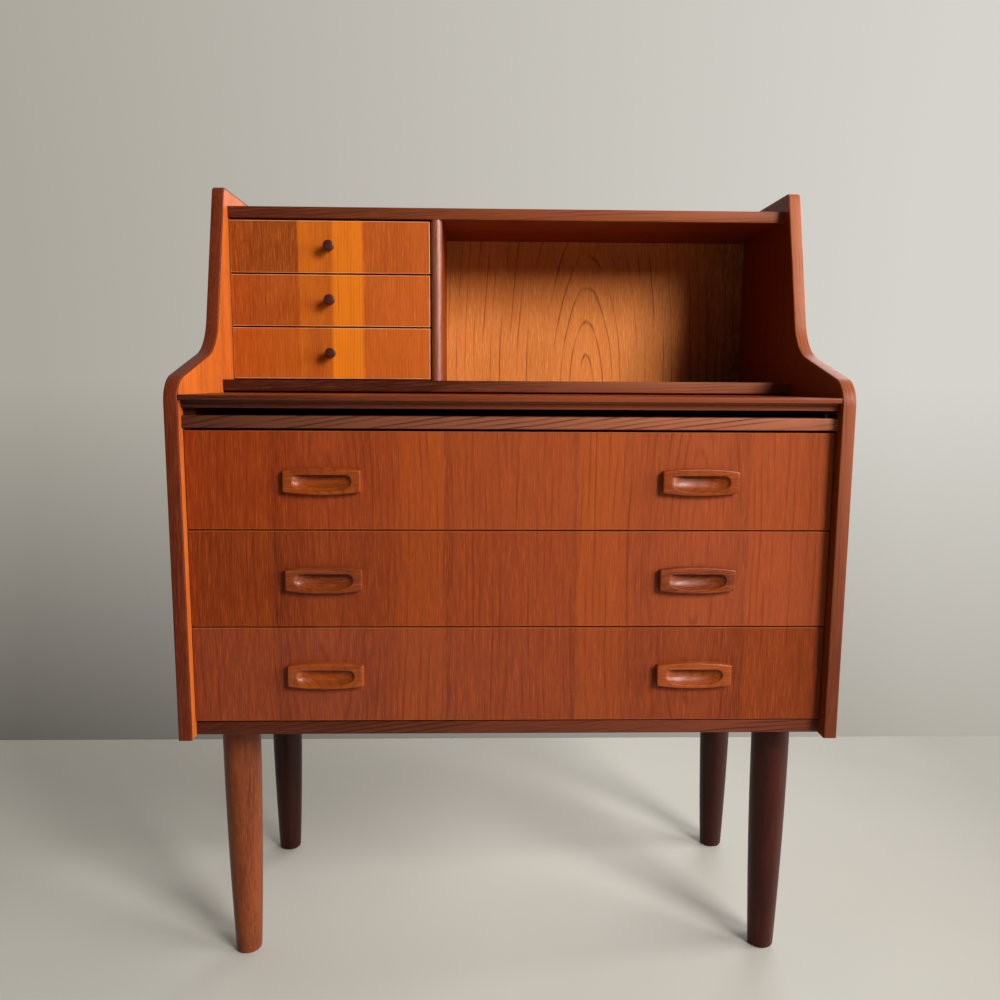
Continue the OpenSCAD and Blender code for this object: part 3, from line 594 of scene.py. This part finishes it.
class DESK_OT_boards(Maker):
    """Finishes of the boards, the backs and what the desk holds inside."""
    bl_idname = "desk.boards"
    bl_label = "Boards and Insides"

    def execute(self, context):
        c = self.colours
        veneer = (c.veneer_dark, c.veneer_mid, c.veneer_light)
        # veneered boards, oiled: grain across the desk
        across = wood("Oiled teak veneer, boards", *veneer, grain="X", plane="Z", heart=(0, 0.02, 0),
                      heart_stretch=0.1, ring_mm=12, ring_depth=0.25)
        dress(across, "top_board", "shelf_board", "bottom_board", "slide_board")
        upright = wood("Oiled teak veneer, divider", *veneer, plane="X", heart=(0, 0.1, 0.9), ring_mm=12,
                       ring_depth=0.2)
        dress(upright, "divider")
        # flat-cut veneer, oiled: a heart low in the panel gives nested arches; its right end darkens almost
        # to black as painted shadow of the right side
        arched = wood("Flat-cut teak veneer, back", "6a2c0e", "da7a34", "f8bc70", heart=(0.143, 0, 0.80),
                      heart_stretch=0.27, ring_mm=15, ring_depth=0.8, line=0.82, figure=1.0, band_mm=50,
                      streak_mm=1.3, streak_depth=0.55, pore_stretch=30, roughness=0.5,
                      tint=slope_tint(0.27, 0.40, "da7a34", "1c0a08", share=0.6))
        dress(arched, "upper_back")
        # birch ply, sanded and left plain
        plain = dict(ring_mm=30, ring_depth=0.15, heart_stretch=0.2, roughness=0.6, streak_depth=0.3,
                     relief=0.05)
        ply = wood("Birch ply", "9c7142", c.ply, "dcbd8c", heart=(0.1, 0, 0.5), **plain)
        dress(ply, "lower_back")
        flat_ply = wood("Birch ply, drawer bottoms", "9c7142", c.ply, "dcbd8c", grain="X", plane="Z",
                        **plain)
        # beech, planed and left plain
        beech = wood("Steamed beech", "a87f4c", c.beech, "e0bf90", grain="Y", plane="X", ring_mm=8,
                     ring_depth=0.12, streak_mm=1.6, streak_depth=0.35, roughness=0.5, relief=0.05)
        for drawer in WIDE_DRAWERS:
            dress(beech, drawer + "_left", drawer + "_right", drawer + "_back")
            dress(flat_ply, drawer + "_bottom")
        for drawer in SMALL_DRAWERS:
            dress(beech, drawer + "_box")
            dress(flat_ply, drawer + "_bottom")
        dress(beech, "wide_drawer_runners", "small_drawer_runners", "dowels")
        # the same beech painted dark as shade where it shows in the finger gap
        gap_shade_beech = wood("Beech painted dark as gap shade", "1c0c07", "2e140b", "472214", grain="Y", plane="X", ring_mm=8,
                       ring_depth=0.2, streak_mm=1.6, streak_depth=0.3, roughness=0.55, relief=0.05)
        dress(gap_shade_beech, "slide_runners", "slide_stops")
        # cold-rolled plate and zinc-plated screws
        dress(metal("Cold-rolled steel", "8d8b88", 0.42, 3), "leg_plates")
        dress(metal("Zinc-plated steel", "bfc0c2", 0.30, 2), "leg_bolts", "wood_screws")
        return {"FINISHED"}


class DESK_OT_fronts(Maker):
    """Drawer fronts: the CAD front merged, with the arrises of its face rounded by a bevel."""
    bl_idname = "desk.fronts"
    bl_label = "Drawer Fronts"

    def eased(self, node, name):
        """Copy of a CAD front with its doubles merged and its flat facets joined. Each edge whose two ends
        lie on the face's outline gets a full bevel weight."""
        mesh = NODES[node].data.copy()
        work = bmesh.new()
        work.from_mesh(mesh)
        bmesh.ops.remove_doubles(work, verts=work.verts, dist=DOUBLES)
        bmesh.ops.dissolve_limit(work, angle_limit=math.radians(1), verts=work.verts, edges=work.edges)
        work.to_mesh(mesh)
        work.free()
        lo, hi = corners(node)
        co = np.empty(len(mesh.vertices) * 3)
        mesh.vertices.foreach_get("co", co)
        co = co.reshape(-1, 3)
        ends = np.empty(len(mesh.edges) * 2, int)
        mesh.edges.foreach_get("vertices", ends)
        a, b = co[ends[0::2]], co[ends[1::2]]
        near = 0.00005                   # how close to the face counts as on it
        on_face = (abs(a[:, 1] - lo[1]) < near) & (abs(b[:, 1] - lo[1]) < near)
        on_line = np.zeros(len(a), bool)
        for axis in (0, 2):
            for value in (lo[axis], hi[axis]):
                on_line |= (abs(a[:, axis] - value) < near) & (abs(b[:, axis] - value) < near)
        weights = mesh.attributes.new("bevel_weight_edge", "FLOAT", "EDGE")
        weights.data.foreach_set("value", (on_face & on_line).astype(float))
        mesh.polygons.foreach_set("use_smooth", np.zeros(len(mesh.polygons), bool))
        piece = bpy.data.objects.new(name, mesh)
        bpy.context.scene.collection.objects.link(piece)
        bevel = piece.modifiers.new("Arris", "BEVEL")
        bevel.limit_method = "WEIGHT"
        bevel.width = self.shape.front_arris
        bevel.segments = 3
        return piece

    def execute(self, context):
        c = self.colours
        # sliced veneer, oiled: leaves matched about the desk's middle, running on through the three fronts
        matched = (
            (0.0, "863410"), (0.185, "8a360f"), (0.20, "521a07"), (0.212, "a2480f"), (0.34, "9c430f"),
            (0.36, "8a3811"), (0.45, "762c12"), (0.58, "92401f"), (0.70, "742a12"), (0.735, "561a07"),
            (0.75, "8e390d"), (1.0, "84320a"))
        half_w = corners("wide_top_front")[1][0]
        # each front's tone, painted light and shade across it: two places across it, the colours there and
        # their share
        tones = ((-0.30, 0.00, "741c04", "844429", 0.35), (-0.30, 0.33, "3c0603", "844532", 0.35),
                 (0.00, 0.33, "62322a", "37170d", 0.40))
        for drawer, (left, right, first, last, share) in zip(WIDE_DRAWERS, tones):
            node = drawer + "_front"
            # the veneer is darkened to the left and towards the bottom as painted falloff of the light; the
            # pale band round the face is partly wear and partly painted highlight
            veneer = wood("Oiled teak veneer, " + drawer.replace("_", " "), c.veneer_dark, c.veneer_mid,
                          c.veneer_light, heart=(0.237, 0, 0.606), heart_stretch=0.16, ring_mm=9,
                          ring_depth=0.5, mirrored=True, band_mm=55, band_depth=0.7, streak_mm=1.2,
                          streak_depth=0.55, pore_stretch=32,
                          tint=in_turn(leaves(0, half_w, matched, 0.92, mirrored=True),
                                       slope_tint(-0.42, 0.05, "4a1606", "8a3a16", share=0.3),
                                       slope_tint(0.26, 0.52, "541c0a", "8a3a16", axis="Z", share=0.2),
                                       slope_tint(left, right, first, last, share=share)),
                          wear_and_highlight=rim(node, 0.0009, "b5642f"))
            place(self.eased(node, "eased_" + node), veneer, node)
        # each small front has its own run of leaves, paler to the right of the knob; the runs darken from
        # the low front up to the top one, most at the left, as painted shadow of the top lip
        stops = {
            "small_top": ((0.0, "602106"), (0.335, "6e2806"), (0.345, "c0620c"), (0.43, "b85c0c"),
                          (0.50, "a8500c"), (0.52, "d8740c"), (0.655, "d8740c"), (0.67, "9c4415"),
                          (0.82, "9a4112"), (1.0, "ac501c")),
            "small_middle": ((0.0, "82340e"), (0.335, "943c0c"), (0.345, "b85a0c"), (0.50, "aa500e"),
                             (0.52, "e07a0e"), (0.655, "e07a0e"), (0.67, "ac4e18"), (1.0, "b8561e")),
            "small_low": ((0.0, "9e440e"), (0.335, "ac4e0e"), (0.345, "bc5c0e"), (0.42, "9c4410"),
                          (0.50, "ac540e"), (0.51, "ea800e"), (0.655, "e67e10"), (0.67, "b45418"),
                          (1.0, "bc5a1c")),
        }
        for drawer in SMALL_DRAWERS:
            node = drawer + "_front"
            lo, hi = corners(node)
            # the pale band round the face is partly wear and partly painted highlight
            veneer = wood("Oiled teak veneer, " + drawer.replace("_", " "), "7c3510", "ac5420", "dc7c2c",
                          heart=(-0.6, 0, 0.9), heart_stretch=0.05, ring_mm=4.5, ring_depth=0.4, band_mm=25,
                          band_depth=0.4, streak_mm=1.1, streak_depth=0.5, pore_stretch=34, line=0.5,
                          tint=leaves(lo[0], hi[0], stops[drawer]),
                          wear_and_highlight=rim(node, 0.0010, "eda878", 0.7))
            place(self.eased(node, "eased_" + node), veneer, node)
        return {"FINISHED"}


def polar(outline, angles):
    """Points where rays at the given angles from the origin meet a closed outline drawn round it."""
    outline = np.asarray(outline, float)
    turn = np.unwrap(np.arctan2(outline[:, 1], outline[:, 0]))
    if turn[-1] < turn[0]:
        outline, turn = outline[::-1], turn[::-1]
    order = np.concatenate([turn - 2 * math.pi, turn, turn + 2 * math.pi])
    ring = np.concatenate([outline] * 3)
    wanted = np.mod(angles - turn[0], 2 * math.pi) + turn[0]
    return np.stack([np.interp(wanted, order, ring[:, 0]), np.interp(wanted, order, ring[:, 1])], 1)


def pull_rings(shape, size, proud, boss_deep):
    """Rings of one pull about its middle, from the boss's end round the plate's edge to the hollow's
    deepest line. Every ring has a point at each of the same angles. The plate has straight ends and arched
    upper and lower edges; the hollow has a straight upper edge, round ends and a low curved edge, and its
    depth is that of a bowl that is deepest along the upper edge, undercut there, and runs out at the lower
    curve."""
    half_w, half_h, end_h = size[0] / 2, size[1] / 2, shape.pull_end_h / 2
    x = np.linspace(-half_w, half_w, 61)
    bulge = half_h - end_h
    radius = (half_w ** 2 + bulge ** 2) / (2 * bulge)
    arch = half_h - radius + np.sqrt(radius ** 2 - x ** 2)
    ease = 0.0009                        # the plate's corners
    round_r, bow = 0.0075, 2.5           # the hollow's upper corners, and the power of its lower curve
    lip = 0.0009                         # the mouth's rounded rim
    undercut, under_from = 0.0032, 0.002  # how far the hollow runs up behind its upper edge, and from where
    centre = 0.45                        # the rays' centre, as a share of the hollow's height from its top
    drop = shape.hollow_h - round_r

    def plate(inset):
        """Plate outline drawn in by inset, with its corners eased."""
        grown = np.stack([x * (half_w - inset) / half_w, arch - inset], 1)
        upper = grown[::-1]
        corner = ease * (1 - inset / half_h)
        side, high = half_w - inset, end_h - inset - corner
        right = np.array([[side, -high], [side, high]])
        inner_upper = upper[abs(upper[:, 0]) < side - corner]
        return np.concatenate([right, inner_upper, -right, -inner_upper])

    def mouth(grow):
        """Hollow outline grown by grow: straight above, eased corners, a flattened half ellipse below."""
        top = shape.hollow_top + grow
        half, corner_r = shape.hollow_w / 2 + grow, round_r + grow
        t = np.linspace(math.pi, 2 * math.pi, 121)
        below = np.stack([half * np.sign(np.cos(t)) * abs(np.cos(t)) ** (2 / bow),
                          top - corner_r - (drop + grow) * abs(np.sin(t)) ** (2 / bow)], 1)
        right = arc((half - corner_r, top - corner_r), corner_r, 0, math.pi / 2, 16)[1:]
        left = arc((corner_r - half, top - corner_r), corner_r, math.pi / 2, math.pi, 16)[:-1]
        return np.concatenate([below, right, left])

    middle = np.array([0, shape.hollow_top - shape.hollow_h * centre])
    # rays through the ends of the plate's eased corners
    corners_at = [math.atan2(s * (end_h - ease) - middle[1], side * half_w)
                  for side in (-1, 1) for s in (-1, 1)]
    corners_at += [math.atan2(s * end_h * 1.005 - middle[1], side * (half_w - ease))
                   for side in (-1, 1) for s in (-1, 1)]
    evenly = np.linspace(0, 2 * math.pi, 240, endpoint=False)
    angles = np.sort(np.mod(np.concatenate([evenly, corners_at]), 2 * math.pi))

    def ring(outline, y):
        """Ring of the outline's points at every angle, at the given depth."""
        flat = polar(outline - middle, angles) + middle
        return np.stack([flat[:, 0], np.broadcast_to(y, len(flat)), flat[:, 1]], 1)

    boss = eased_rectangle((-BOSS_W / 2, -BOSS_H / 2), (BOSS_W / 2, BOSS_H / 2), (0.001,) * 4)
    rings = [ring(boss, boss_deep), ring(boss, 0), ring(plate(0), 0)]
    edge = shape.pull_arris
    for turn in np.linspace(0, math.pi / 2, 6):
        rings.append(ring(plate(edge * (1 - math.cos(turn))), -proud + edge * (1 - math.sin(turn))))
    for turn in np.linspace(0, math.pi / 2, 5):
        rings.append(ring(mouth(lip * (1 - math.sin(turn))), -proud + lip * (1 - math.cos(turn))))
    rim = rings[-1]

    def depth(px, pz):
        """Depth of the hollow below the plate's face."""
        across = abs(px) / (shape.hollow_w / 2)
        down = np.clip((shape.hollow_top - round_r - pz) / drop, 0, None)
        inside = np.clip(1 - across ** bow - down ** bow, 0, 1) ** 0.6
        fall = 1 - 0.45 * np.clip((shape.hollow_top - pz) / shape.hollow_h, 0, 1) ** 1.5
        return np.maximum(shape.hollow_depth * inside * fall, lip)

    reach = np.clip((rim[:, 2] - shape.hollow_top + under_from) / under_from, 0, 1)
    reach = reach * np.clip(1 - (abs(rim[:, 0]) / (shape.hollow_w * 0.47)) ** 4, 0, 1)
    floor_y = -proud + depth(rim[:, 0], rim[:, 2])
    # the wall below the upper edge: how far down, and the part of the undercut reached there
    for step, share in ((0.35, 0.0), (0.45, 0.6), (0.75, 1.0), (1.0, 0.8)):
        lower = rim.copy()
        lower[:, 1] = rim[:, 1] + (floor_y - rim[:, 1]) * step
        lower[:, 2] += undercut * share * reach
        rings.append(lower)
    foot = rings[-1]
    bottom = shape.hollow_top - 0.006    # height of the hollow's deepest place
    for s in np.linspace(0.06, 0.985, 16):
        px = foot[:, 0] * (1 - s)
        pz = foot[:, 2] * (1 - s) + bottom * s
        rings.append(np.stack([px, -proud + depth(px, pz), pz], 1))
    return np.array(rings)


class DESK_OT_pulls(Maker):
    """Carved pulls: rings from the boss round the plate and down into the finger hollow."""
    bl_idname = "desk.pulls"
    bl_label = "Pulls"

    def execute(self, context):
        c = self.colours
        for i, (drawer, mid) in enumerate(zip(WIDE_DRAWERS, (c.pull_mid, "6e2a0c", "8c3c0c"))):
            node = drawer + "_pulls"
            lo, hi = corners(node)
            face = corners(drawer + "_front")[0][1]
            rings = pull_rings(self.shape, (PULL_W, hi[2] - lo[2]), face - lo[1], hi[1] - face)
            middle_z = (lo[2] + hi[2]) / 2
            pulls = [rings + (x, face, middle_z) for x in (lo[0] + PULL_W / 2, hi[0] - PULL_W / 2)]
            # carved solid teak, oiled: flame grain along the pull
            carved = wood("Carved solid teak, " + drawer.replace("_", " "), c.pull_dark, mid, c.pull_light,
                          grain="X", plane="Z", heart=(0, face + 0.012, 0), heart_stretch=0.22, ring_mm=3.2,
                          ring_depth=0.5, figure=0.9, band_mm=10, streak_mm=1.4, streak_depth=0.4,
                          roughness=0.32, turn=(0, math.radians(3 + 2 * i), 0), gloss=0.3)
            place(build("carved_" + node, pulls, sharp=40), carved, node)
        return {"FINISHED"}


class DESK_OT_turnings(Maker):
    """Legs and knobs: profiles turned about their axes."""
    bl_idname = "desk.turnings"
    bl_label = "Legs and Knobs"

    def execute(self, context):
        c = self.colours
        shape = self.shape
        # dark, ground and light tones of each leg
        timber = (("42190b", "723418", "aa6238"), ("180603", "38120a", "5c2414"),
                  ("180803", "30110a", "4e2014"), ("150703", "2a0e08", "461b11"))
        for i, (node, tones) in enumerate(zip(LEGS, timber)):
            lo, hi = corners(node)
            length, top_r = hi[2] - lo[2], (hi[0] - lo[0]) / 2
            axis_x, axis_y = (lo[:2] + hi[:2]) / 2
            foot = shape.foot_r
            z = np.linspace(foot, length, 40)
            taper = top_r - (top_r - shape.leg_foot_d / 2) * ((length - z) / length) ** 2
            turn = np.linspace(-math.pi / 2, 0, 8)
            radius = np.concatenate([taper[0] - foot + foot * np.cos(turn), taper[1:]])
            along = np.concatenate([foot + foot * np.sin(turn), z[1:]]) + lo[2]
            rings = revolve(radius, along, 96) + (axis_x, axis_y, 0)
            # turned solid teak, oiled: the taper cuts through the rings in long flames
            turned = wood("Turned solid teak, " + node.replace("_", " "), *tones, plane="Z",
                          heart=(axis_x + 0.02, axis_y + 0.03, 0), ring_mm=4.2, ring_depth=0.45,
                          figure=0.8, band_mm=14, streak_mm=1.8, streak_depth=0.4, roughness=0.36,
                          turn=(math.radians(1.5), math.radians(2 - i), 0), gloss=0.17)
            place(build("turned_" + node, [rings]), turned, node)
        # dark turned knobs: end grain to the front
        knob = wood("Turned dark teak, knobs", "24100a", c.knob, "6e3623", grain="Y", plane="Y",
                    ring_mm=2.2, ring_depth=0.4, band_mm=8, streak_mm=1.2, roughness=0.36, gloss=0.3)
        for drawer in SMALL_DRAWERS:
            node = drawer + "_knob"
            lo, hi = corners(node)
            face = corners(drawer + "_front")[0][1]
            head_r, stand, deep = (hi[0] - lo[0]) / 2, face - lo[1], hi[1] - face
            edge, crown = 0.0018, 0.0006  # radius of the head's edge, and rise left for its dome
            t = np.linspace(0, 1, 14)    # along the stem, which widens from 0.72 to 0.98 of the head
            flare = head_r * (0.72 + 0.26 * t ** 1.6)
            stem = np.stack([flare, t * (stand - edge - crown)], 1)
            rim = arc((head_r - edge, stand - edge - crown), edge, 0, math.radians(78), 7)
            dome = np.linspace(1, 0.04, 8)
            cap = np.stack([rim[-1, 0] * dome, rim[-1, 1] + (stand - rim[-1, 1]) * (1 - dome ** 2)], 1)[1:]
            tenon = [[shape.tenon_d / 2, -deep], [shape.tenon_d / 2, 0]]
            line = np.concatenate([tenon, stem, rim, cap])
            rings = revolve(line[:, 0], line[:, 1], 48)
            middle = (lo + hi) / 2
            rings = np.stack([rings[..., 0] + middle[0], face - rings[..., 2],
                              rings[..., 1] + middle[2]], -1)
            place(build("turned_" + node, [rings], sharp=40), knob, node)
        return {"FINISHED"}


class DESK_OT_stage(Maker):
    """Floor, soft light and the camera."""
    bl_idname = "desk.stage"
    bl_label = "Stage"

    def lamp(self, name, at, towards, size, power, colour=(1, 1, 1)):
        """A soft rectangular light, turned towards a place."""
        data = bpy.data.lights.new(name, "AREA")
        data.shape = "RECTANGLE"
        data.size, data.size_y = size
        data.energy = power
        data.color = colour
        made = bpy.data.objects.new(name, data)
        made.location = at
        made.rotation_euler = (Vector(towards) - Vector(at)).to_track_quat("-Z", "Y").to_euler()
        bpy.context.scene.collection.objects.link(made)

    def execute(self, context):
        c = self.colours
        scene = context.scene
        scene.view_settings.view_transform = "Standard"
        reach, rear = 8.0, 0.59          # the floor's half width, and where the room begins
        mesh = bpy.data.meshes.new("floor")
        mesh.from_pydata([(-reach, -reach, 0), (reach, -reach, 0), (reach, rear, 0), (-reach, rear, 0)],
                         [], [(0, 1, 2, 3)])
        floor = bpy.data.objects.new("floor", mesh)
        scene.collection.objects.link(floor)
        # boards rolled with matt floor paint
        material, tree, shader = start("Painted floor", 0.6)
        where = add(tree, "ShaderNodeTexCoord").outputs["Object"]
        marks = noise(tree, where, 3.0, scale=3.0)["Fac"]
        tone = mix(tree, marks, linear(c.floor), linear(c.floor_worn))
        # darker to the right: painted shade against the key lamp's pool of light
        tone = slope_tint(0.0, 1.0, "b6b4ad", "5c5a55", share=0.6)(tree, where, tone)
        tree.links.new(tone, shader.inputs["Base Color"])
        floor.data.materials.append(material)

        # plain grey room: paler to the right as painted light, darker low down as painted shade, dim behind
        # the camera
        world = bpy.data.worlds.new("room")
        scene.world = world
        world.use_nodes = True
        tree = world.node_tree
        way = add(tree, "ShaderNodeTexCoord").outputs["Generated"]
        axes = add(tree, "ShaderNodeSeparateXYZ", {0: way}).outputs
        right = span(tree, axes["X"], -0.45, 0.45)
        tone = mix(tree, right, linear(c.backdrop), linear(c.backdrop_lit))
        dusk = mix(tree, right, linear(c.backdrop_low), linear(c.backdrop))
        tone = mix(tree, span(tree, axes["Z"], 0.0, -0.40), tone, dusk)
        tone = mix(tree, span(tree, axes["Y"], 0.3, -0.3), tone, grey(0.02))
        tree.links.new(tone, tree.nodes["Background"].inputs["Color"])

        # the key is a tall soft window, 39 degrees right of the front and 24 degrees up
        self.lamp("key", (1.86, -2.29, 2.17), (0, 0, 0.85), (1.0, 1.15), 132, (1.0, 0.97, 0.93))
        self.lamp("side", (3.6, -0.7, 1.5), (0, 0, 0.8), (2.4, 1.8), 190, (1.0, 0.98, 0.95))
        self.lamp("fill", (-2.4, -3.2, 1.6), (0, 0, 0.6), (2.4, 2.0), 4)
        self.lamp("rear", (1.6, 3.0, 2.4), (0, 0, 0.6), (2.0, 1.6), 40)

        # seen from just above the writing surface, a little left of the middle
        eye = (-0.0422, -1.2874, 0.8063)
        pitch, yaw, roll = 0.1366, 0.0251, 0.006
        data = bpy.data.cameras.new("camera")
        data.lens, data.sensor_width = 31.10, 36.0
        camera = bpy.data.objects.new("camera", data)
        aim = Euler((math.pi / 2 - pitch, 0, -yaw)).to_matrix() @ Matrix.Rotation(roll, 3, "Z")
        camera.matrix_world = Matrix.Translation(eye) @ aim.to_4x4()
        scene.collection.objects.link(camera)
        scene.camera = camera
        return {"FINISHED"}


STEPS = (DESK_OT_stage, DESK_OT_sides, DESK_OT_lips, DESK_OT_boards, DESK_OT_fronts, DESK_OT_pulls,
         DESK_OT_turnings)


class DESK_PT_panel(bpy.types.Panel):
    """The desk's steps and sizes."""
    bl_idname = "DESK_PT_panel"
    bl_label = "Secretary Desk"
    bl_space_type = "VIEW_3D"
    bl_region_type = "UI"
    bl_category = "Desk"

    def draw(self, context):
        for step in STEPS:
            self.layout.operator(step.bl_idname)
        for group in (context.scene.desk_shape, context.scene.desk_colours):
            for name in group.__annotations__:
                self.layout.prop(group, name)


CLASSES = (DeskShape, DeskColours, *STEPS, DESK_PT_panel)


def register():
    for cls in CLASSES:
        bpy.utils.register_class(cls)
    bpy.types.Scene.desk_shape = PointerProperty(type=DeskShape)
    bpy.types.Scene.desk_colours = PointerProperty(type=DeskColours)


def unregister():
    del bpy.types.Scene.desk_colours
    del bpy.types.Scene.desk_shape
    for cls in reversed(CLASSES):
        bpy.utils.unregister_class(cls)


def main():
    """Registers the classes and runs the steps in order."""
    register()
    for step in STEPS:
        getattr(bpy.ops.desk, step.bl_idname.split(".")[1])()


if __name__ == "__main__":
    main()
